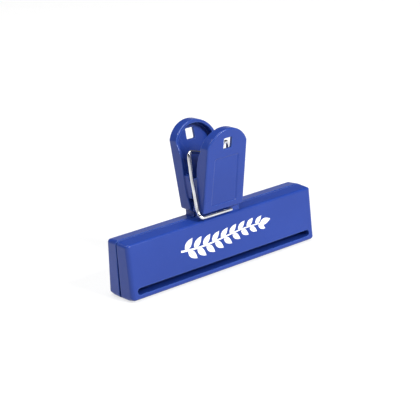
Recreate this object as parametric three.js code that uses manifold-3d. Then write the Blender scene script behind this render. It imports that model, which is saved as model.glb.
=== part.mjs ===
// Bag clip: two alike moulded halves that rock on each other, and one wire spring that holds them shut.
// Millimetres, +Z up. X runs along the jaw, the halves meet at the plane y = 0 and the front is -Y.
// The origin is at the middle of the jaw's lower edge. The back half is the front one turned
// half round about Z.
import * as THREE from "three";
import { mergeVertices } from "three/addons/utils/BufferGeometryUtils.js";
import Module from "manifold-3d";

const wasm = await Module();
wasm.setup();

// Jaw bar. Its outer face leans out towards the bottom, and its walls draft towards the outer face.
const JAW_LENGTH = 102.2;
const JAW_HEIGHT = 24.9;
const JAW_DEPTH_TOP = 7.0;
const JAW_DEPTH_BOTTOM = 8.4;
const JAW_WALL = 1.6;
const END_DRAFT = 0.3;
const TOP_DRAFT = 0.55;
const BOTTOM_DRAFT = 0.7;
const FOOT_DEPTH = 4.8; // flat underside, from the middle plane out
const FOOT_EDGE_RADIUS = 1.5;
const JAW_EDGE_RADIUS = 1.1;
const END_EDGE_RADIUS = 1.25;
const END_SKIN = 0.02; // the rounding outlines stand this far outside the flat faces
const RIM_EDGE_RADIUS = 0.3;
const SEAM_TOP = 0.25; // from the middle plane to one half's rim
const SEAM_BOTTOM = 0.65;
const HOLLOW_THICKENING = 0.3; // of the outer face's wall, towards the bottom
const HOLLOW_CORNER_RADIUS = 0.6;

// Groove along the outer face, with the gripping ridge behind it.
const GROOVE_HALF_LENGTH = 47.8;
const GROOVE_Z = 4.1;
const GROOVE_HEIGHT = 2.8;
const GROOVE_FLOOR = 3.0;
const RIDGE_TOP = 6.9;
const BEAD_REACH = 0.15;
const BEAD_HALF_HEIGHT = 1.5;
const BEAD_HALF_CREST = 0.8;
const BEAD_ROOT = 1.5;
const BEAD_EDGE_RADIUS = 0.3;

// Ribs across the jaw's hollow.
const RIB_THICKNESS = 1.4;
const RIB_REACH = 2.3;
const RIB_X = [8.85, 23.5, 37];

// Handle: a leaning plate with side walls that run in towards the other half.
const HANDLE_BOTTOM = 27.2;
const HANDLE_KNEE = 47;
const HANDLE_SHOULDER = 56.3;
const HALF_WIDTH_BOTTOM = 11.0;
const HALF_WIDTH_KNEE = 10.8;
const ARC_RADIUS = 11.6;
const ARC_Z = 51.8;
const PLATE_Y = 7.5; // outer face at HANDLE_BOTTOM
const PLATE_LEAN = 0.185; // further out per millimetre up
const PLATE_THICKNESS = 1.5;
const SIDE_WALL = 1.4;
const HANDLE_EDGE_RADIUS = 0.7;
const HANDLE_CORNER_RADIUS = 1.0;
const INNER_CORNER_RADIUS = 0.7;
const INNER_EDGE_RADIUS = 0.4;
const HANDLE_REACH = 16;

// Edge of the side walls, as [height, distance from the middle plane].
const WALL_EDGE = [
  [HANDLE_BOTTOM - 1, 0.45],
  [30, 1.35],
  [34, 2.9],
  [38, 3.75],
  [41, 4.2],
  [45.6, 4.6],
  [49, 5.1],
  [52, 6.2],
  [55, 7.7],
  [58.5, 8.3],
  [66, 9.7],
];

// Hanging hole through the plate, and the shallow panel below it.
const HOLE_WIDTH = 4.35;
const HOLE_HEIGHT = 4.8;
const HOLE_Z = 57.0;
const HOLE_CORNER_RADIUS = 0.4;
const PANEL_BOTTOM = 30;
const PANEL_TOP = 51;
const PANEL_HALF_BOTTOM = 6.85;
const PANEL_HALF_TOP = 6.4;
const PANEL_DEPTH = 0.3;
const PANEL_CORNER_RADIUS = 0.8;

// Neck between the jaw bar and the handle. The spring lies in the notch that it leaves.
const NECK_HALF_WIDTH = 9.6;
const NECK_DEPTH = 6.0;
const NECK_WALL = 1.5;
const NECK_RIM = 0.45;
const NECK_OVERRUN = 0.9; // into the wall above and the wall below

// Fulcrum: on each side a nose of one half turns in a socket of the other.
const PIVOT_Z = 38;
const NOSE_RADIUS = 2.4;
const SOCKET_RADIUS = 2.7;
const EAR_INNER_X = 8.0;
const EAR_OUTER_X = 10.3; // in line with the side walls, a little inside their outer faces
const EAR_BOTTOM = 32.6;
const EAR_TOP = 42.2;
const EAR_GAP = 0.35;
const EAR_SLOPE = 0.36; // clears the other half's ear when the clip is squeezed
const EAR_ROOT = 8.6;
const EAR_EDGE_RADIUS = 0.3;

// Spring: one wire, alike under a half turn about Z.
const WIRE_RADIUS = 0.75;
const WIRE_SIDES = 8;
const WIRE_STEPS = 130;
const WIRE_TIP = [4.5, -7.2, 26.05];
const WIRE_FOOT_Y = -7.25;
const WIRE_FOOT_Z = 26.2;
const WIRE_BEND = 1.7;
const WIRE_BEND_STEPS = 5;
// Leg, from the bend at the foot to the bend at the top. It leans in once it is above the side wall.
const WIRE_LEG = [
  [-12.1, -6.1, 27.4],
  [-12.1, -5.1, 29.8],
  [-12.1, -4.4, 33.6],
  [-12.1, -3.65, 38.3],
  [-11.95, -2.6, 43.0],
  [-11.7, -1.85, 47.0],
  [-11.45, -1.1, 50.6],
];
const WIRE_TOP_CORNER = [-11.2, -0.5, 53.9];
// Cross-bar: it sags towards its middle, and runs slightly across the middle plane.
const BAR_HALF_LENGTH = 8.6;
const BAR_Z = 51.3;
const BAR_SAG = 0.022; // height gained per millimetre squared from the middle
const BAR_SKEW = 0.02;
const BAR_GUIDES = [0.6, 0.25]; // as fractions of the half length

const CURVE_SEGMENTS = 6;
const ARC_SEGMENTS = 20;
const BEVEL_SEGMENTS = 4;
const MERGE_DISTANCE = 1e-4;
const CUT_OVERRUN = 1; // how far a cutting body reaches past the face it cuts
const WALL_REGION_DEPTH = 40;

const FRONT_COLOUR = 0x2f49b8;
const BACK_COLOUR = 0x2d46b2;
const STEEL_COLOUR = 0xc9ccd1;
const PLASTIC_ROUGHNESS = 0.42;
const STEEL_ROUGHNESS = 0.28;

// A polygon whose corners are rounded, each by its own radius.
function roundedShape(corners) {
  const shape = new THREE.Shape();
  const count = corners.length;
  corners.forEach(([x, y, radius], i) => {
    const corner = new THREE.Vector2(x, y);
    const before = new THREE.Vector2(...corners[(i + count - 1) % count].slice(0, 2)).sub(corner);
    const after = new THREE.Vector2(...corners[(i + 1) % count].slice(0, 2)).sub(corner);
    const start = before.setLength(radius).add(corner);
    const end = after.setLength(radius).add(corner);
    if (i === 0) shape.moveTo(start.x, start.y);
    else shape.lineTo(start.x, start.y);
    if (radius > 0) shape.quadraticCurveTo(corner.x, corner.y, end.x, end.y);
  });
  shape.closePath();
  return shape;
}

// The closed body that a geometry's triangles bound.
function solid(geometry) {
  const bare = new THREE.BufferGeometry();
  bare.setAttribute("position", geometry.getAttribute("position"));
  if (geometry.index) bare.setIndex(geometry.index);
  const merged = mergeVertices(bare, MERGE_DISTANCE);
  return new wasm.Manifold(
    new wasm.Mesh({
      numProp: 3,
      vertProperties: new Float32Array(merged.attributes.position.array),
      triVerts: new Uint32Array(merged.index.array),
    }),
  );
}

function extruded(shape, depth, bevel = 0) {
  return new THREE.ExtrudeGeometry(shape, {
    depth: depth - 2 * bevel,
    curveSegments: CURVE_SEGMENTS,
    bevelEnabled: bevel > 0,
    bevelThickness: bevel,
    bevelSize: bevel,
    bevelOffset: -bevel,
    bevelSegments: BEVEL_SEGMENTS,
  }).translate(0, 0, bevel);
}

// A shape drawn in (y, z), from x0 to x1.
function alongX(shape, x0, x1) {
  const turn = new THREE.Matrix4().set(0, 0, 1, x0, 1, 0, 0, 0, 0, 1, 0, 0, 0, 0, 0, 1);
  return solid(extruded(shape, x1 - x0).applyMatrix4(turn));
}

// A shape drawn in (x, z), from y0 back to y1.
function alongY(shape, y0, y1) {
  const turn = new THREE.Matrix4().set(1, 0, 0, 0, 0, 0, -1, y1, 0, 1, 0, 0, 0, 0, 0, 1);
  return solid(extruded(shape, y1 - y0).applyMatrix4(turn));
}

// A shape drawn in (x, z) on the handle's leaning outer face, run inwards from one depth to another.
function fromPlate(shape, from, to, bevel = 0) {
  const base = PLATE_LEAN * HANDLE_BOTTOM - PLATE_Y + to;
  const lean = new THREE.Matrix4().set(1, 0, 0, 0, 0, -PLATE_LEAN, -1, base, 0, 1, 0, 0, 0, 0, 0, 1);
  return solid(extruded(shape, to - from, bevel).applyMatrix4(lean));
}

function block(x0, x1, y0, y1, z0, z1) {
  const box = new THREE.BoxGeometry(x1 - x0, y1 - y0, z1 - z0);
  return solid(box.translate((x0 + x1) / 2, (y0 + y1) / 2, (z0 + z1) / 2));
}

// Moves a body's corner points: the ends, the top and the outer face all draft with depth or height.
function drafted(geometry, move) {
  const position = geometry.getAttribute("position");
  for (let i = 0; i < position.count; i += 1) {
    const point = new THREE.Vector3().fromBufferAttribute(position, i);
    position.setXYZ(i, ...move(point).toArray());
  }
  return solid(geometry);
}

// The bar's outside: its section, its plan and its face, each with its own rounded corners, in common.
function jawEnvelope() {
  const halfLength = JAW_LENGTH / 2;
  const r = END_EDGE_RADIUS;
  const section = roundedShape([
    [-SEAM_BOTTOM, 0, RIM_EDGE_RADIUS],
    [-SEAM_TOP, JAW_HEIGHT, RIM_EDGE_RADIUS],
    [-JAW_DEPTH_TOP, JAW_HEIGHT - TOP_DRAFT, JAW_EDGE_RADIUS],
    [-JAW_DEPTH_BOTTOM, BOTTOM_DRAFT, JAW_EDGE_RADIUS],
    [-FOOT_DEPTH, 0, FOOT_EDGE_RADIUS],
  ]);
  const plan = roundedShape([
    [-halfLength + END_DRAFT, -JAW_DEPTH_BOTTOM - END_SKIN, r],
    [halfLength - END_DRAFT, -JAW_DEPTH_BOTTOM - END_SKIN, r],
    [halfLength, 0, 0],
    [halfLength, JAW_DEPTH_BOTTOM, 0],
    [-halfLength, JAW_DEPTH_BOTTOM, 0],
    [-halfLength, 0, 0],
  ]);
  const face = roundedShape([
    [-halfLength - END_SKIN, -END_SKIN, r],
    [halfLength + END_SKIN, -END_SKIN, r],
    [halfLength + END_SKIN, JAW_HEIGHT + END_SKIN, r],
    [-halfLength - END_SKIN, JAW_HEIGHT + END_SKIN, r],
  ]);
  const lean = (JAW_DEPTH_BOTTOM - JAW_DEPTH_TOP) / (JAW_HEIGHT - TOP_DRAFT - BOTTOM_DRAFT);
  const planBody = drafted(extruded(plan, JAW_HEIGHT), (p) => {
    return new THREE.Vector3(p.x, p.y + lean * (p.z - BOTTOM_DRAFT), p.z);
  });
  const faceBody = drafted(extruded(face, JAW_DEPTH_BOTTOM + CUT_OVERRUN), (p) => {
    const outward = p.z / JAW_DEPTH_BOTTOM;
    const inwards = Math.sign(p.x) * END_DRAFT * outward;
    const down = TOP_DRAFT * outward * (p.y / JAW_HEIGHT);
    return new THREE.Vector3(p.x - inwards, -p.z, p.y - down);
  });
  return alongX(section, -halfLength, halfLength).intersect(planBody).intersect(faceBody);
}

function jawHollow() {
  const halfLength = JAW_LENGTH / 2 - JAW_WALL;
  const section = roundedShape([
    [CUT_OVERRUN, RIDGE_TOP, 0],
    [CUT_OVERRUN, JAW_HEIGHT - JAW_WALL, 0],
    [JAW_WALL - JAW_DEPTH_TOP, JAW_HEIGHT - TOP_DRAFT - JAW_WALL, HOLLOW_CORNER_RADIUS],
    [JAW_WALL - JAW_DEPTH_BOTTOM + HOLLOW_THICKENING, RIDGE_TOP, HOLLOW_CORNER_RADIUS],
  ]);
  let hollow = alongX(section, -halfLength, halfLength);
  for (const x of RIB_X) {
    for (const side of [-1, 1]) {
      const left = side * x - RIB_THICKNESS / 2;
      const right = side * x + RIB_THICKNESS / 2;
      hollow = hollow.subtract(block(left, right, -JAW_DEPTH_BOTTOM, -RIB_REACH, 0, JAW_HEIGHT));
    }
  }
  return hollow;
}

function groove() {
  const r = GROOVE_HEIGHT / 2;
  const slot = new THREE.Shape();
  slot.absarc(GROOVE_HALF_LENGTH - r, GROOVE_Z, r, -Math.PI / 2, Math.PI / 2, false);
  slot.absarc(r - GROOVE_HALF_LENGTH, GROOVE_Z, r, Math.PI / 2, (3 * Math.PI) / 2, false);
  slot.closePath();
  return alongY(slot, -JAW_DEPTH_BOTTOM - CUT_OVERRUN, -GROOVE_FLOOR);
}

function gripBead() {
  const section = roundedShape([
    [-BEAD_ROOT, GROOVE_Z - BEAD_HALF_HEIGHT, 0],
    [-BEAD_REACH, GROOVE_Z - BEAD_HALF_CREST, BEAD_EDGE_RADIUS],
    [-BEAD_REACH, GROOVE_Z + BEAD_HALF_CREST, BEAD_EDGE_RADIUS],
    [-BEAD_ROOT, GROOVE_Z + BEAD_HALF_HEIGHT, 0],
  ]);
  return alongX(section, -GROOVE_HALF_LENGTH, GROOVE_HALF_LENGTH);
}

function jawBar() {
  return jawEnvelope().add(gripBead()).subtract(jawHollow()).subtract(groove());
}

// The handle's face, drawn in by an inset all round.
function handleFace(inset) {
  const radius = ARC_RADIUS - inset;
  const start = Math.asin((HANDLE_SHOULDER - ARC_Z) / ARC_RADIUS);
  const corner = Math.max(HANDLE_CORNER_RADIUS - inset, INNER_CORNER_RADIUS);
  const bottom = HANDLE_BOTTOM + inset;
  const half = HALF_WIDTH_BOTTOM - inset;
  const knee = HALF_WIDTH_KNEE - inset;
  const shape = new THREE.Shape();
  shape.moveTo(-half + corner, bottom);
  shape.lineTo(half - corner, bottom);
  shape.quadraticCurveTo(half, bottom, half, bottom + corner);
  shape.lineTo(knee, HANDLE_KNEE);
  for (let i = 0; i <= ARC_SEGMENTS; i += 1) {
    const angle = start + ((Math.PI - 2 * start) * i) / ARC_SEGMENTS;
    shape.lineTo(radius * Math.cos(angle), ARC_Z + radius * Math.sin(angle));
  }
  shape.lineTo(-knee, HANDLE_KNEE);
  shape.lineTo(-half, bottom + corner);
  shape.quadraticCurveTo(-half, bottom, -half + corner, bottom);
  return shape;
}

function wallEdgeRegion() {
  const shape = new THREE.Shape();
  const edge = WALL_EDGE.map(([z, y]) => new THREE.Vector2(-y, z));
  shape.moveTo(-WALL_REGION_DEPTH, edge[0].y);
  shape.lineTo(edge[0].x, edge[0].y);
  shape.splineThru(edge.slice(1));
  shape.lineTo(-WALL_REGION_DEPTH, edge.at(-1).y);
  shape.closePath();
  return shape;
}

function handleShell() {
  const outer = fromPlate(handleFace(0), 0, HANDLE_REACH, HANDLE_EDGE_RADIUS);
  const innerReach = HANDLE_REACH + 2 * CUT_OVERRUN;
  const inner = fromPlate(handleFace(SIDE_WALL), PLATE_THICKNESS, innerReach, INNER_EDGE_RADIUS);
  const halfWidth = HALF_WIDTH_BOTTOM + CUT_OVERRUN;
  const region = alongX(wallEdgeRegion(), -halfWidth, halfWidth);
  return outer.subtract(inner).intersect(region);
}

function hangingHole() {
  const x = HOLE_WIDTH / 2;
  const low = HOLE_Z - HOLE_HEIGHT / 2;
  const high = HOLE_Z + HOLE_HEIGHT / 2;
  const r = HOLE_CORNER_RADIUS;
  const shape = roundedShape([
    [-x, low, r],
    [x, low, r],
    [x, high, r],
    [-x, high, r],
  ]);
  return fromPlate(shape, -CUT_OVERRUN, PLATE_THICKNESS + CUT_OVERRUN);
}

function panelRecess() {
  const r = PANEL_CORNER_RADIUS;
  const shape = roundedShape([
    [-PANEL_HALF_BOTTOM, PANEL_BOTTOM, r],
    [PANEL_HALF_BOTTOM, PANEL_BOTTOM, r],
    [PANEL_HALF_TOP, PANEL_TOP, r],
    [-PANEL_HALF_TOP, PANEL_TOP, r],
  ]);
  return fromPlate(shape, -CUT_OVERRUN, PANEL_DEPTH);
}

function neck() {
  const low = JAW_HEIGHT - TOP_DRAFT - NECK_OVERRUN;
  const high = HANDLE_BOTTOM + NECK_OVERRUN;
  const inner = NECK_HALF_WIDTH - NECK_WALL;
  const outside = block(-NECK_HALF_WIDTH, NECK_HALF_WIDTH, -NECK_DEPTH, -NECK_RIM, low, high);
  const bottom = low - CUT_OVERRUN;
  const top = high + CUT_OVERRUN;
  return outside.subtract(block(-inner, inner, NECK_WALL - NECK_DEPTH, 0, bottom, top));
}

// One ear's outline in (y, z): upright below the pivot, and sloping away from the other half above it.
function earShape() {
  return roundedShape([
    [-EAR_ROOT, EAR_BOTTOM, 0],
    [-EAR_GAP, EAR_BOTTOM, EAR_EDGE_RADIUS],
    [-EAR_GAP, PIVOT_Z, EAR_EDGE_RADIUS],
    [-EAR_GAP - EAR_SLOPE * (EAR_TOP - PIVOT_Z), EAR_TOP, EAR_EDGE_RADIUS],
    [-EAR_ROOT, EAR_TOP, 0],
  ]);
}

function pivotDisc(radius, x0, x1) {
  const circle = new THREE.Shape();
  circle.absarc(0, PIVOT_Z, radius, 0, 2 * Math.PI, false);
  return alongX(circle, x0, x1);
}

function noseEar() {
  const ear = alongX(earShape(), EAR_INNER_X, EAR_OUTER_X);
  return ear.add(pivotDisc(NOSE_RADIUS, EAR_INNER_X, EAR_OUTER_X));
}

function socketEar() {
  const ear = alongX(earShape(), -EAR_OUTER_X, -EAR_INNER_X);
  const left = -EAR_OUTER_X - CUT_OVERRUN;
  const right = -EAR_INNER_X + CUT_OVERRUN;
  return ear.subtract(pivotDisc(SOCKET_RADIUS, left, right));
}

function mouldedHalf() {
  return jawBar()
    .add(handleShell())
    .add(neck())
    .add(noseEar())
    .add(socketEar())
    .subtract(hangingHole())
    .subtract(panelRecess());
}

// One bend of the wire, from a point on the first run to a point on the second.
function bend(from, corner, to) {
  return new THREE.QuadraticBezierCurve3(from, corner, to).getPoints(WIRE_BEND_STEPS);
}

function barPoint(x) {
  return new THREE.Vector3(x, BAR_SKEW * x, BAR_Z + BAR_SAG * x * x);
}

// The wire's middle line, from the tip in the front notch to the middle of the cross-bar.
function springHalfPath() {
  const tip = new THREE.Vector3(...WIRE_TIP);
  const leg = WIRE_LEG.map((point) => new THREE.Vector3(...point));
  const footCorner = new THREE.Vector3(leg[0].x, WIRE_FOOT_Y, WIRE_FOOT_Z);
  const footStart = new THREE.Vector3(leg[0].x + WIRE_BEND, WIRE_FOOT_Y, WIRE_FOOT_Z);
  const topCorner = new THREE.Vector3(...WIRE_TOP_CORNER);
  return [
    tip,
    tip.clone().lerp(footStart, 0.5),
    ...bend(footStart, footCorner, leg[0]),
    ...leg.slice(1, -1),
    ...bend(leg.at(-1), topCorner, barPoint(-BAR_HALF_LENGTH)),
    ...BAR_GUIDES.map((fraction) => barPoint(-fraction * BAR_HALF_LENGTH)),
  ];
}

function springGeometry() {
  const front = springHalfPath();
  const back = front.map((p) => new THREE.Vector3(-p.x, -p.y, p.z)).reverse();
  const path = new THREE.CatmullRomCurve3([...front, ...back], false, "centripetal");
  const section = new THREE.Shape();
  section.absarc(0, 0, WIRE_RADIUS, 0, 2 * Math.PI, false);
  return new THREE.ExtrudeGeometry(section, {
    steps: WIRE_STEPS,
    curveSegments: WIRE_SIDES,
    extrudePath: path,
    bevelEnabled: false,
  });
}

function geometryOf(body) {
  const mesh = body.getMesh();
  const geometry = new THREE.BufferGeometry();
  geometry.setAttribute("position", new THREE.BufferAttribute(mesh.vertProperties, mesh.numProp));
  geometry.setIndex(new THREE.BufferAttribute(mesh.triVerts, 1));
  geometry.computeVertexNormals();
  return geometry;
}

const clip = new THREE.Group();

function addPiece(name, geometry, colour, roughness, metalness) {
  const material = new THREE.MeshStandardMaterial({ color: colour, roughness, metalness });
  const mesh = new THREE.Mesh(geometry, material);
  mesh.name = name;
  clip.add(mesh);
}

const half = mouldedHalf();
addPiece("front_half", geometryOf(half), FRONT_COLOUR, PLASTIC_ROUGHNESS, 0);
addPiece("back_half", geometryOf(half).rotateZ(Math.PI), BACK_COLOUR, PLASTIC_ROUGHNESS, 0);
addPiece("spring_wire", springGeometry(), STEEL_COLOUR, STEEL_ROUGHNESS, 1);

export default clip;
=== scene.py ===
import math

import bmesh
import bpy
from mathutils import Matrix, Vector


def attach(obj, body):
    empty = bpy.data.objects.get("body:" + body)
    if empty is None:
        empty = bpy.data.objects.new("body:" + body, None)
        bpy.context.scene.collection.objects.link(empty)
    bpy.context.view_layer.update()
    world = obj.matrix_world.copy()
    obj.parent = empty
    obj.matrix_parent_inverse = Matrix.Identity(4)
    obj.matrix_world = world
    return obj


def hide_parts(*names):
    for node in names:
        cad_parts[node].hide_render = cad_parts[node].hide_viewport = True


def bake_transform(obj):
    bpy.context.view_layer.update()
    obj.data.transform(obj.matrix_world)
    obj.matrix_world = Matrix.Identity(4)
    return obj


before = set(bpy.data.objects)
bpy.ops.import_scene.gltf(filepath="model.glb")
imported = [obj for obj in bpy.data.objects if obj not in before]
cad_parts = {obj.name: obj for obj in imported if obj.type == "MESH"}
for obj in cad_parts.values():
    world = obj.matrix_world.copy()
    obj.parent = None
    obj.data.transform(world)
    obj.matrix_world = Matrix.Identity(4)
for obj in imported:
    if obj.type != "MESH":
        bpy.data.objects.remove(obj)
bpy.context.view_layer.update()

MM = 0.001
SCENE = bpy.context.scene

# The camera stands in front and towards -X, and looks at a point near the jaw's top edge.
# Angles are in degrees, the distance in metres, and the lens and sensor in mm.
CAMERA_AIM = Vector((-1.95, -0.88, 25.89)) * MM
CAMERA_AZIMUTH = 38.80
CAMERA_ELEVATION = 18.18
CAMERA_ROLL = -3.67
CAMERA_DISTANCE = 0.6015
CAMERA_LENS = 121.84
SENSOR_WIDTH = 36.0
CAMERA_CLIP = (0.02, 30.0)

# How the moulded halves are remade with eased edges.
VOXEL = 0.2 * MM
SMOOTH_FACTOR = 0.5
SMOOTH_STEPS = 5

# The jaw bar's outer faces, in mm, and the radius that its end edges are eased to.
JAW_HALF_LENGTH = 51.1
JAW_TOP = 24.9
JAW_FACE_LOW = (0.7, 8.4)  # height, and depth from the middle plane
JAW_FACE_HIGH = (24.35, 7.0)
END_DRAFT = 0.3
TOP_DRAFT = 0.55
BOTTOM_DRAFT = 0.7
FOOT_DEPTH = 4.8
EDGE_RADIUS = 1.1
END_RADIUS = 1.9

# Spring wire, in mm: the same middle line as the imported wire.
WIRE_RADIUS = 0.75
WIRE_SIDES = 20
WIRE_SPACING = 0.25
WIRE_CURVE_STEPS = 24  # between two guide points
WIRE_BEND_STEPS = 8
WIRE_TIP = (4.5, -7.2, 26.05)
WIRE_FOOT = (-7.25, 26.2)
WIRE_BEND = 1.7
WIRE_LEG = [
    (-12.1, -6.1, 27.4),
    (-12.1, -5.1, 29.8),
    (-12.1, -4.4, 33.6),
    (-12.1, -3.65, 38.3),
    (-11.95, -2.6, 43.0),
    (-11.7, -1.85, 47.0),
    (-11.45, -1.1, 50.6),
]
WIRE_TOP_CORNER = (-11.2, -0.5, 53.9)
BAR_HALF_LENGTH = 8.6
BAR_Z = 51.3
BAR_SAG = 0.022  # height gained per millimetre squared from the middle
BAR_SKEW = 0.02
BAR_GUIDES = (0.6, 0.25)  # as fractions of the half length
CUT_LIP = 0.22
# The wire's rounded cut end, as fractions of the lip: how far out, and how far in from the side.
CUT_PROFILE = ((1.0, 1.6), (0.95, 0.8), (0.75, 0.32), (0.4, 0.08))


def camera():
    data = bpy.data.cameras.new("camera")
    data.lens, data.sensor_width = CAMERA_LENS, SENSOR_WIDTH
    data.clip_start, data.clip_end = CAMERA_CLIP
    cam = bpy.data.objects.new("camera", data)
    SCENE.collection.objects.link(cam)
    az, el, roll = map(math.radians, (CAMERA_AZIMUTH, CAMERA_ELEVATION, CAMERA_ROLL))
    forward = Vector((math.sin(az) * math.cos(el), math.cos(az) * math.cos(el), -math.sin(el)))
    level = forward.cross(Vector((0, 0, 1))).normalized()
    above = level.cross(forward)
    right = level * math.cos(roll) + above * math.sin(roll)
    up = above * math.cos(roll) - level * math.sin(roll)
    turn = Matrix((right, up, -forward)).transposed().to_4x4()
    turn.translation = CAMERA_AIM - forward * CAMERA_DISTANCE
    cam.matrix_world = turn
    SCENE.camera = cam


# ---------------------------------------------------------------- materials

# Colours, as linear red, green, blue and alpha.
BLUE_DARKER, BLUE_LIGHTER = (0.011, 0.038, 0.240, 1), (0.013, 0.043, 0.264, 1)
# Painted highlight: a paler blue laid along the edges.
BLUE_EDGE_HIGHLIGHT = (0.07, 0.15, 0.48, 1)
# Painted shade: a darker blue laid in the inward corners.
BLUE_CORNER_SHADE = (0.004, 0.014, 0.12, 1)
# Painted shade: a near-black blue laid in recesses and between the halves.
BLUE_RECESS_SHADE = (0.003, 0.012, 0.10, 1)
BLUE_SCRATCHED = (0.09, 0.14, 0.40, 1)
STEEL_BRIGHT, STEEL_DULL = (0.80, 0.81, 0.83, 1), (0.64, 0.65, 0.67, 1)
STEEL_PIT = (0.28, 0.28, 0.29, 1)
INK_DULL, INK_BRIGHT = (0.86, 0.87, 0.89, 1), (0.93, 0.93, 0.94, 1)
INK_THIN = (0.45, 0.52, 0.80, 1)
PAPER_DARKER, PAPER_LIGHTER = (0.30, 0.30, 0.30, 1), (0.32, 0.32, 0.32, 1)
GLOW_BRIGHT, GLOW_DULL = (1.0, 1.0, 1.0, 1), (0.98, 0.98, 0.98, 1)

# Roughness ranges, and how much wear smooths the plastic and scratches roughen it.
PLASTIC_ROUGHNESS = (0.28, 0.33)
STEEL_ROUGHNESS = (0.12, 0.24)
INK_ROUGHNESS = (0.42, 0.55)
PAPER_ROUGHNESS = 0.9
WEAR_POLISH = 0.08
SCRATCH_ROUGHNESS = 0.16

# Optical settings, and the distances reached by the painted edge highlight with its wear polish, and
# by the painted shade in recesses.
PLASTIC_IOR = 1.41
PLASTIC_SPECULAR = 0.43
PAPER_GLOW = 0.70
EDGE_MASK_RADIUS = 0.9 * MM
RECESS_REACH = 5.0 * MM

# Scales of the patterns, in repeats per metre, and depths of the bumps.
CLOUD_SCALE = 38.0
SKIN_SCALE = 620.0
GRAIN_SCALE = 2600.0
SCRATCH_PATCH_SCALE = 70.0
STEEL_PATCH_SCALE = 160.0
PIT_SCALE = 1900.0
FILM_SCALE = 900.0
THIN_SPOT_SCALE = 2400.0
PAPER_SCALE = 6.0
GRAIN_DEPTH = 0.006 * MM
SCRATCH_DEPTH = 0.006 * MM
DRAWN_DEPTH = 0.012 * MM
PIT_DEPTH = 0.01 * MM
FILM_DEPTH = 0.008 * MM
DRAWN_STRETCH = (5.0, 5.0, 60.0)  # across the wire twice, then along it
# Each set of scratches: its direction in radians, scale, and the noise where marks start and end.
SCRATCHES = ((0.5, 2600.0, 0.70, 0.76), (-0.9, 3100.0, 0.71, 0.77))
SCRATCH_TILT = (0.3, 0.2)
SCRATCH_STRETCH = (1.0, 0.6, 0.012)


class Nodes:
    """A material's node tree, with short calls to add and join nodes."""

    def __init__(self, name):
        self.material = bpy.data.materials.new(name)
        self.material.use_nodes = True
        self.tree = self.material.node_tree
        self.shader = self.tree.nodes["Principled BSDF"]

    def add(self, kind, inputs=None, **settings):
        node = self.tree.nodes.new(kind)
        for key, value in settings.items():
            setattr(node, key, value)
        for key, value in (inputs or {}).items():
            self.feed(node.inputs[key], value)
        return node

    def feed(self, socket, value):
        if isinstance(value, bpy.types.NodeSocket):
            self.tree.links.new(value, socket)
        else:
            socket.default_value = value

    def set(self, **values):
        for key, value in values.items():
            self.feed(self.shader.inputs[key.replace("_", " ")], value)

    def math(self, operation, a, b):
        return self.add("ShaderNodeMath", {0: a, 1: b}, operation=operation).outputs[0]

    def noise(self, vector, scale, detail, roughness=0.5):
        inputs = {"Vector": vector, "Scale": scale, "Detail": detail, "Roughness": roughness}
        return self.add("ShaderNodeTexNoise", inputs).outputs["Fac"]

    def ramp(self, value, low, high, out_low=0.0, out_high=1.0):
        inputs = {0: value, 1: low, 2: high, 3: out_low, 4: out_high}
        return self.add("ShaderNodeMapRange", inputs, clamp=True).outputs[0]

    def mix(self, amount, a, b):
        node = self.add("ShaderNodeMix", data_type="RGBA")
        self.feed(node.inputs[0], amount)
        self.feed(node.inputs[6], a)
        self.feed(node.inputs[7], b)
        return node.outputs[2]

    def tint(self, base, mask, amount, colour):
        """The base, turned this far towards another colour where the mask is 1."""
        return self.mix(self.math("MULTIPLY", mask, amount), base, colour)

    def stretched(self, vector, scale):
        return self.add("ShaderNodeMapping", {"Vector": vector, "Scale": scale}).outputs[0]

    def bump(self, height, distance, strength, normal=None):
        inputs = {"Height": height, "Distance": distance, "Strength": strength}
        node = self.add("ShaderNodeBump", inputs)
        if normal is not None:
            self.feed(node.inputs["Normal"], normal)
        return node.outputs[0]


def scratches(m, place, angle, scale, low, high):
    """Thin straight marks along one direction, as a mask."""
    turn = {"Vector": place, "Rotation": (SCRATCH_TILT[0], angle, SCRATCH_TILT[1])}
    turned = m.add("ShaderNodeMapping", turn).outputs[0]
    drawn_out = m.stretched(turned, tuple(scale * part for part in SCRATCH_STRETCH))
    lines = m.ramp(m.noise(drawn_out, 1.0, 2.0, 0.4), low, high)
    patches = m.ramp(m.noise(place, SCRATCH_PATCH_SCALE, 2.0), 0.5, 0.62)
    return m.math("MULTIPLY", lines, patches)


def edge_masks(m):
    """Where the surface turns outwards at an edge (painted highlight and wear polish), and where it
    turns inwards (painted shade).
    """
    surface = m.add("ShaderNodeNewGeometry").outputs
    eased = m.add("ShaderNodeBevel", {"Radius": EDGE_MASK_RADIUS}, samples=6).outputs[0]
    pair = {0: eased, 1: surface["Normal"]}
    turn = m.add("ShaderNodeVectorMath", pair, operation="DOT_PRODUCT").outputs["Value"]
    outwards = m.ramp(surface["Pointiness"], 0.505, 0.515)
    rubbed_and_highlit_edges = m.math("MULTIPLY", m.ramp(turn, 0.99, 0.90), outwards)
    return rubbed_and_highlit_edges, m.ramp(surface["Pointiness"], 0.49, 0.42)


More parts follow.
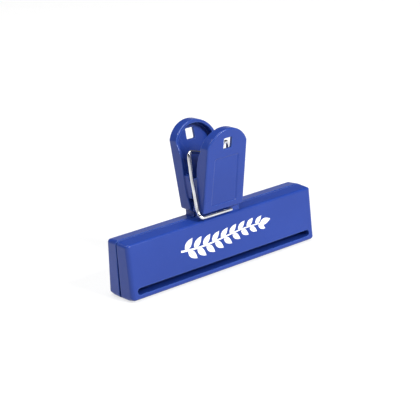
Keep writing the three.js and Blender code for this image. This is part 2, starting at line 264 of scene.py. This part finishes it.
def plastic(name):
    """Satin blue plastic with a painted highlight on its edges, painted shade in its corners and
    recesses, and a few fine scratches.
    """
    m = Nodes(name)
    place = m.add("ShaderNodeTexCoord").outputs["Object"]
    rubbed_and_highlit_edges, painted_corner_shade = edge_masks(m)
    cloud = m.noise(place, CLOUD_SCALE, 3.0)
    grain = m.noise(place, GRAIN_SCALE, 2.0)
    skin = m.noise(place, SKIN_SCALE, 3.0)
    marks = m.math("MAXIMUM", *(scratches(m, place, *one_set) for one_set in SCRATCHES))
    painted_recess_shade = m.add("ShaderNodeAmbientOcclusion", {"Distance": RECESS_REACH}, samples=8).outputs["AO"]
    base = m.mix(m.ramp(cloud, 0.35, 0.65), BLUE_DARKER, BLUE_LIGHTER)
    # Painted highlight: the edges are turned paler.
    base = m.tint(base, rubbed_and_highlit_edges, 0.75, BLUE_EDGE_HIGHLIGHT)
    # Painted shade: the inward corners are turned darker.
    base = m.tint(base, painted_corner_shade, 0.5, BLUE_CORNER_SHADE)
    # Painted shade: recesses and the gaps between parts are turned darker by ambient occlusion.
    base = m.mix(m.ramp(painted_recess_shade, 0.12, 0.42, 0.75, 0.0), base, BLUE_RECESS_SHADE)
    base = m.tint(base, marks, 0.16, BLUE_SCRATCHED)
    rough = m.ramp(skin, 0.3, 0.7, *PLASTIC_ROUGHNESS)
    rough = m.math("SUBTRACT", rough, m.math("MULTIPLY", rubbed_and_highlit_edges, WEAR_POLISH))
    rough = m.math("ADD", rough, m.math("MULTIPLY", marks, SCRATCH_ROUGHNESS))
    normal = m.bump(grain, GRAIN_DEPTH, 0.6)
    normal = m.bump(m.math("SUBTRACT", 1.0, marks), SCRATCH_DEPTH, 0.8, normal)
    m.set(Base_Color=base, Roughness=rough, Normal=normal)
    m.set(IOR=PLASTIC_IOR, Specular_IOR_Level=PLASTIC_SPECULAR)
    return m.material


def steel(name):
    """Bright drawn wire: faint lines along its length, and a few pits."""
    m = Nodes(name)
    run = m.add("ShaderNodeAttribute", attribute_name="wire_run").outputs["Vector"]
    place = m.add("ShaderNodeTexCoord").outputs["Object"]
    drawn = m.noise(m.stretched(run, DRAWN_STRETCH), 1.0, 3.0)
    patches = m.noise(place, STEEL_PATCH_SCALE, 4.0)
    pits = m.ramp(m.noise(place, PIT_SCALE, 2.0), 0.66, 0.74)
    base = m.mix(m.ramp(patches, 0.35, 0.7), STEEL_BRIGHT, STEEL_DULL)
    base = m.tint(base, pits, 0.5, STEEL_PIT)
    mottle = m.math("ADD", m.math("MULTIPLY", drawn, 0.6), m.math("MULTIPLY", patches, 0.4))
    rough = m.ramp(mottle, 0.3, 0.7, *STEEL_ROUGHNESS)
    normal = m.bump(drawn, DRAWN_DEPTH, 0.5)
    normal = m.bump(m.math("SUBTRACT", 1.0, pits), PIT_DEPTH, 0.5, normal)
    m.set(Base_Color=base, Roughness=rough, Normal=normal, Metallic=1.0)
    return m.material


def ink(name):
    """White printing ink that thins out in small spots."""
    m = Nodes(name)
    place = m.add("ShaderNodeTexCoord").outputs["Object"]
    film = m.noise(place, FILM_SCALE, 3.0)
    thin = m.ramp(m.noise(place, THIN_SPOT_SCALE, 2.0), 0.64, 0.74)
    base = m.mix(m.ramp(film, 0.3, 0.7), INK_DULL, INK_BRIGHT)
    base = m.tint(base, thin, 0.35, INK_THIN)
    rough = m.ramp(film, 0.3, 0.7, *INK_ROUGHNESS)
    m.set(Base_Color=base, Roughness=rough, Normal=m.bump(film, FILM_DEPTH, 0.5))
    return m.material


def paper(name):
    """White backing sheet that also glows evenly, as if lit from below."""
    m = Nodes(name)
    place = m.add("ShaderNodeTexCoord").outputs["Object"]
    soft = m.noise(place, PAPER_SCALE, 2.0)
    m.set(Base_Color=m.mix(soft, PAPER_DARKER, PAPER_LIGHTER))
    m.set(Emission_Color=m.mix(soft, GLOW_BRIGHT, GLOW_DULL))
    m.set(Roughness=PAPER_ROUGHNESS, Emission_Strength=PAPER_GLOW)
    return m.material


# ---------------------------------------------------------------- pieces

def put(name, mesh, material, smooth=True):
    mesh.materials.clear()
    mesh.materials.append(material)
    for polygon in mesh.polygons:
        polygon.use_smooth = smooth
    piece = bpy.data.objects.new(name, mesh)
    SCENE.collection.objects.link(piece)
    return piece


def with_edge_radii(node):
    """The node's shape as a fine, even mesh whose sharp edges are eased to small radii."""
    bm = bmesh.new()
    bm.from_mesh(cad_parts[node].data)
    bmesh.ops.remove_doubles(bm, verts=bm.verts, dist=1e-7)
    rough = bpy.data.meshes.new("rough")
    bm.to_mesh(rough)
    bm.free()
    shape = bpy.data.objects.new("shape", rough)
    SCENE.collection.objects.link(shape)
    remesh = shape.modifiers.new("remesh", "REMESH")
    remesh.mode, remesh.voxel_size = "VOXEL", VOXEL
    ease = shape.modifiers.new("ease", "SMOOTH")
    ease.factor, ease.iterations = SMOOTH_FACTOR, SMOOTH_STEPS
    bpy.context.view_layer.update()
    done = shape.evaluated_get(bpy.context.evaluated_depsgraph_get())
    mesh = bpy.data.meshes.new_from_object(done)
    bpy.data.objects.remove(shape)
    bpy.data.meshes.remove(rough)
    return mesh


def jaw_depth(z):
    """The outer face's distance from the middle plane, in mm."""
    (z0, y0), (z1, y1) = JAW_FACE_LOW, JAW_FACE_HIGH
    return y0 + (z - z0) * (y1 - y0) / (z1 - z0)


def jaw_skin(y, z):
    """How far inside the jaw's outer section a point lies, in mm, and the way inwards there."""
    depth = jaw_depth(z) + y
    top = JAW_TOP + TOP_DRAFT * y / JAW_FACE_LOW[1] - z
    low = z - BOTTOM_DRAFT * max(0.0, (-y - FOOT_DEPTH) / (JAW_FACE_LOW[1] - FOOT_DEPTH))
    rise, way = (top, -1) if top < low else (low, 1)
    if depth < EDGE_RADIUS and rise < EDGE_RADIUS:
        inwards = Vector((0, EDGE_RADIUS - depth, way * (EDGE_RADIUS - rise)))
        return EDGE_RADIUS - inwards.length, inwards.normalized()
    if depth < rise:
        return depth, Vector((0, 1, 0))
    return rise, Vector((0, 0, way))


def round_ends(mesh):
    """Eases the edges round the jaw's two ends to a larger radius."""
    for vert in mesh.vertices:
        x, y, z = vert.co / MM
        end = JAW_HALF_LENGTH + END_DRAFT * y / JAW_FACE_LOW[1] - abs(x)
        if end > END_RADIUS or z > JAW_TOP:
            continue
        inside, inwards = jaw_skin(y, z)
        past = Vector((END_RADIUS - end, max(END_RADIUS - inside, 0.0)))
        if past.length > END_RADIUS:
            shift = past * (1 - END_RADIUS / past.length)
            vert.co += (Vector((-math.copysign(shift.x, x), 0, 0)) + inwards * shift.y) * MM


def halves():
    blue = plastic("moulded_blue")
    front_mesh = with_edge_radii("front_half")
    round_ends(front_mesh)
    front = put("front_moulding", front_mesh, blue)
    back = put("back_moulding", front_mesh.copy(), blue)
    back.data.transform(Matrix.Rotation(math.pi, 4, "Z"))
    for piece, node, body in ((front, "front_half", "front_clip"), (back, "back_half", "back_clip")):
        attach(piece, body)
        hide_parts(node)


def bend(start, corner, end):
    """Points on a curve from start to end that turns inside the corner."""
    for i in range(WIRE_BEND_STEPS + 1):
        t = i / WIRE_BEND_STEPS
        yield start * (1 - t) ** 2 + corner * 2 * t * (1 - t) + end * t * t


def bar_point(x):
    """A point on the wire's cross-bar, in mm, at this distance from its middle."""
    return Vector((x, BAR_SKEW * x, BAR_Z + BAR_SAG * x * x))


def wire_guides():
    """Points from the front foot to the cross-bar, then the same again, turned half round."""
    tip = Vector(WIRE_TIP)
    leg = [Vector(p) for p in WIRE_LEG]
    foot_corner = Vector((leg[0].x, *WIRE_FOOT))
    foot_start = foot_corner + Vector((WIRE_BEND, 0, 0))
    half = [tip, tip.lerp(foot_start, 0.5)]
    half += bend(foot_start, foot_corner, leg[0])
    half += leg[1:-1]
    half += bend(leg[-1], Vector(WIRE_TOP_CORNER), bar_point(-BAR_HALF_LENGTH))
    half += [bar_point(-fraction * BAR_HALF_LENGTH) for fraction in BAR_GUIDES]
    return half + [Vector((-p.x, -p.y, p.z)) for p in reversed(half)]


def spline_through(points):
    """Close points on a centripetal Catmull-Rom curve through the given ones."""
    ends = [points[0] * 2 - points[1]] + points + [points[-1] * 2 - points[-2]]
    fine = []
    for a, b, c, d in zip(ends, ends[1:], ends[2:], ends[3:]):
        t0 = 0.0
        t1 = t0 + (b - a).length ** 0.5
        t2 = t1 + (c - b).length ** 0.5
        t3 = t2 + (d - c).length ** 0.5
        for i in range(WIRE_CURVE_STEPS):
            t = t1 + (t2 - t1) * i / WIRE_CURVE_STEPS
            ab = a * ((t1 - t) / (t1 - t0)) + b * ((t - t0) / (t1 - t0))
            bc = b * ((t2 - t) / (t2 - t1)) + c * ((t - t1) / (t2 - t1))
            cd = c * ((t3 - t) / (t3 - t2)) + d * ((t - t2) / (t3 - t2))
            abc = ab * ((t2 - t) / (t2 - t0)) + bc * ((t - t0) / (t2 - t0))
            bcd = bc * ((t3 - t) / (t3 - t1)) + cd * ((t - t1) / (t3 - t1))
            fine.append(abc * ((t2 - t) / (t2 - t1)) + bcd * ((t - t1) / (t2 - t1)))
    fine.append(points[-1])
    return fine


def even(points, spacing):
    """Points at even steps along a line."""
    lengths = [0.0]
    for p, q in zip(points, points[1:]):
        lengths.append(lengths[-1] + (q - p).length)
    count = round(lengths[-1] / spacing)
    out, k = [], 0
    for i in range(count + 1):
        s = lengths[-1] * i / count
        while k < len(points) - 2 and lengths[k + 1] < s:
            k += 1
        span = lengths[k + 1] - lengths[k]
        out.append(points[k].lerp(points[k + 1], (s - lengths[k]) / span if span else 0.0))
    return out


def cut_end(section, way, profile):
    """Sections that round over a cut end, past the wire's last section on one side."""
    point, tangent, across, radius, along = section
    for out, inset in profile:
        past = point + tangent * way * CUT_LIP * out
        yield past, tangent, across, radius - CUT_LIP * inset, along


def tube(name, line, radius, sides, material):
    """A round wire along a line, its cut ends slightly rounded over. Lengths in mm."""
    bm = bmesh.new()
    run = bm.verts.layers.float_vector.new("wire_run")
    ahead, behind = line[1:] + line[-1:], line[:1] + line[:-1]
    tangents = [(q - p).normalized() for p, q in zip(behind, ahead)]
    side = tangents[0].cross(Vector((0, 0, 1))).normalized()
    sections = []
    for i, (point, tangent) in enumerate(zip(line, tangents)):
        side = (side - tangent * side.dot(tangent)).normalized()
        sections.append((point, tangent, side.copy(), radius, i * WIRE_SPACING))
    start_caps = list(cut_end(sections[0], -1, CUT_PROFILE))
    end_caps = list(cut_end(sections[-1], 1, reversed(CUT_PROFILE)))
    rings = []
    for point, tangent, across, reach, along in start_caps + sections + end_caps:
        up = tangent.cross(across)
        ring = []
        for k in range(sides):
            angle = 2 * math.pi * k / sides
            out = across * math.cos(angle) + up * math.sin(angle)
            vert = bm.verts.new((point + out * reach) * MM)
            vert[run] = (math.cos(angle), math.sin(angle), along * MM)
            ring.append(vert)
        rings.append(ring)
    for low, high in zip(rings, rings[1:]):
        for k in range(sides):
            j = (k + 1) % sides
            bm.faces.new((low[k], low[j], high[j], high[k]))
    bm.faces.new(list(reversed(rings[0])))
    bm.faces.new(rings[-1])
    bmesh.ops.recalc_face_normals(bm, faces=bm.faces)
    mesh = bpy.data.meshes.new(name)
    bm.to_mesh(mesh)
    bm.free()
    return put(name, mesh, material)


def spring():
    line = even(spline_through(wire_guides()), WIRE_SPACING)
    wire = tube("bent_spring_wire", line, WIRE_RADIUS, WIRE_SIDES, steel("drawn_steel"))
    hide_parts("spring_wire")
    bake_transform(wire)


# Printed sprig, in mm on the jaw's front face. Its leaves get smaller towards the tip.
INK_THICKNESS = 0.03
INK_SINK = 0.01
SPRIG_Z = 15.0
SPRIG_HALF = 24.0
STEM_STEPS = 60
STEM_SHARE = 0.93  # of the sprig's length
STEM_RISE = 0.9
STEM_WAVES = 0.9  # along the whole sprig
STEM_HALF_WIDTH = 0.42
STEM_TAPER = 0.2
LEAF_PAIRS = 9
LEAF_LENGTH = 6.0
LEAF_WIDTH = 2.9
LEAF_SHRINK = 0.25
LEAF_ANGLE = 44  # degrees
LEAF_ANGLE_CHANGE = 8
LEAF_STAGGER = 1.6
LEAF_OFFSET = 0.35
LEAF_STEPS = 14
LEAF_LEAN = 0.8  # below 1, a leaf is widest nearer its base
LEAF_FULLNESS = 0.9  # below 1, its sides are rounder
FIRST_LEAF = 2.2  # from the sprig's left end
LAST_LEAF = 6.8  # from its right end
TIP_LEAF = 4.2  # from its right end
TIP_LEAF_ANGLE = 6
TIP_LEAF_WIDTH = 2.8
MIDRIB = 0.11
MIDRIB_TAPER = 0.6


def on_face(x, z, out):
    """A point this far out from the jaw's front face, in metres."""
    return Vector((x, -jaw_depth(z) - out, z)) * MM


def patch(bm, outline):
    """A thin film of ink with this outline on the face."""
    low = [bm.verts.new(on_face(x, z, -INK_SINK)) for x, z in outline]
    high = [bm.verts.new(on_face(x, z, INK_THICKNESS)) for x, z in outline]
    bm.faces.new(low)
    bm.faces.new(high)
    for i in range(len(outline)):
        j = (i + 1) % len(outline)
        bm.faces.new((low[i], low[j], high[j], high[i]))


def stem_z(x):
    return SPRIG_Z + STEM_RISE * math.sin(x / SPRIG_HALF * math.pi * STEM_WAVES)


def stem(bm):
    low, high = [], []
    for k in range(STEM_STEPS + 1):
        x = -SPRIG_HALF + 2 * SPRIG_HALF * STEM_SHARE * k / STEM_STEPS
        half = STEM_HALF_WIDTH - STEM_TAPER * k / STEM_STEPS
        low.append((x, stem_z(x) - half))
        high.append((x, stem_z(x) + half))
    patch(bm, low + high[::-1])


def leaf(bm, x, z, angle, length, width):
    """A pointed leaf as two halves either side of a bare midrib."""
    c, s = math.cos(angle), math.sin(angle)
    for side in (1, -1):
        outline = []
        for i in range(LEAF_STEPS + 1):
            t = i / LEAF_STEPS
            half = width / 2 * math.sin(math.pi * t ** LEAF_LEAN) ** LEAF_FULLNESS
            outline.append((length * t, side * max(half, MIDRIB)))
        outline.append((length, side * MIDRIB * (1 - MIDRIB_TAPER)))
        patch(bm, [(x + c * u - s * v, z + s * u + c * v) for u, v in outline])


def sprig():
    bm = bmesh.new()
    stem(bm)
    first, last = FIRST_LEAF - SPRIG_HALF, SPRIG_HALF - LAST_LEAF
    for i in range(LEAF_PAIRS):
        t = i / (LEAF_PAIRS - 1)
        x = first + t * (last - first)
        size = 1.0 - LEAF_SHRINK * t
        angle = math.radians(LEAF_ANGLE - LEAF_ANGLE_CHANGE * t)
        length, width = LEAF_LENGTH * size, LEAF_WIDTH * size
        leaf(bm, x, stem_z(x) + LEAF_OFFSET, angle, length, width)
        x += LEAF_STAGGER
        leaf(bm, x, stem_z(x) - LEAF_OFFSET, -angle, length, width)
    x = SPRIG_HALF - TIP_LEAF
    leaf(bm, x, stem_z(x), math.radians(TIP_LEAF_ANGLE), LEAF_LENGTH, TIP_LEAF_WIDTH)
    bmesh.ops.recalc_face_normals(bm, faces=bm.faces)
    mesh = bpy.data.meshes.new("printed_sprig")
    bm.to_mesh(mesh)
    bm.free()
    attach(put("printed_sprig", mesh, ink("white_ink"), smooth=False), "front_clip")


# ---------------------------------------------------------------- studio

FLOOR_HALF_WIDTH = 4.0
FLOOR_DROP = 0.2 * MM
LIT_POINT = (0, 0, 0.03)  # near the middle of the clip
# Each lamp's name, place in metres, width in metres and power in watts.
LAMPS = [
    ("key", (0.30, -1.2, 0.85), 0.45, 26.0),
    ("overhead", (0.0, 0.1, 1.3), 0.9, 10.5),
    ("behind_left", (-0.62, 0.50, 0.90), 0.14, 4.0),
]
HORIZON_HEIGHT, SKY_HEIGHT = 0.05, 0.35  # as the upward part of a direction
HORIZON_STRENGTH, SKY_STRENGTH = 0.80, 0.10


def floor():
    bm = bmesh.new()
    bmesh.ops.create_grid(bm, x_segments=4, y_segments=4, size=FLOOR_HALF_WIDTH)
    mesh = bpy.data.meshes.new("floor")
    bm.to_mesh(mesh)
    bm.free()
    sheet = put("floor", mesh, paper("white_paper"))
    sheet.location.z = -FLOOR_DROP


def softbox(name, place, size, power):
    """A square lamp aimed at the clip."""
    data = bpy.data.lights.new(name, "AREA")
    data.shape, data.size, data.energy = "SQUARE", size, power
    lamp = bpy.data.objects.new(name, data)
    SCENE.collection.objects.link(lamp)
    lamp.location = place
    lamp.rotation_euler = (Vector(LIT_POINT) - Vector(place)).to_track_quat("-Z", "Y").to_euler()


def backdrop():
    """Dim overhead, and pale at the horizon."""
    world = bpy.data.worlds.new("studio")
    SCENE.world = world
    world.use_nodes = True
    tree = world.node_tree
    place = tree.nodes.new("ShaderNodeTexCoord").outputs["Generated"]
    height = tree.nodes.new("ShaderNodeSeparateXYZ")
    fade = tree.nodes.new("ShaderNodeMapRange")
    fade.clamp = True
    tree.links.new(place, height.inputs[0])
    tree.links.new(height.outputs["Z"], fade.inputs[0])
    ends = (HORIZON_HEIGHT, SKY_HEIGHT, HORIZON_STRENGTH, SKY_STRENGTH)
    for socket, value in zip(fade.inputs[1:5], ends):
        socket.default_value = value
    tree.links.new(fade.outputs[0], tree.nodes["Background"].inputs["Strength"])
    tree.nodes["Background"].inputs["Color"].default_value = (1, 1, 1, 1)


def studio():
    floor()
    backdrop()
    for lamp in LAMPS:
        softbox(*lamp)
    SCENE.view_settings.view_transform = "Standard"


camera()
halves()
spring()
sprig()
studio()
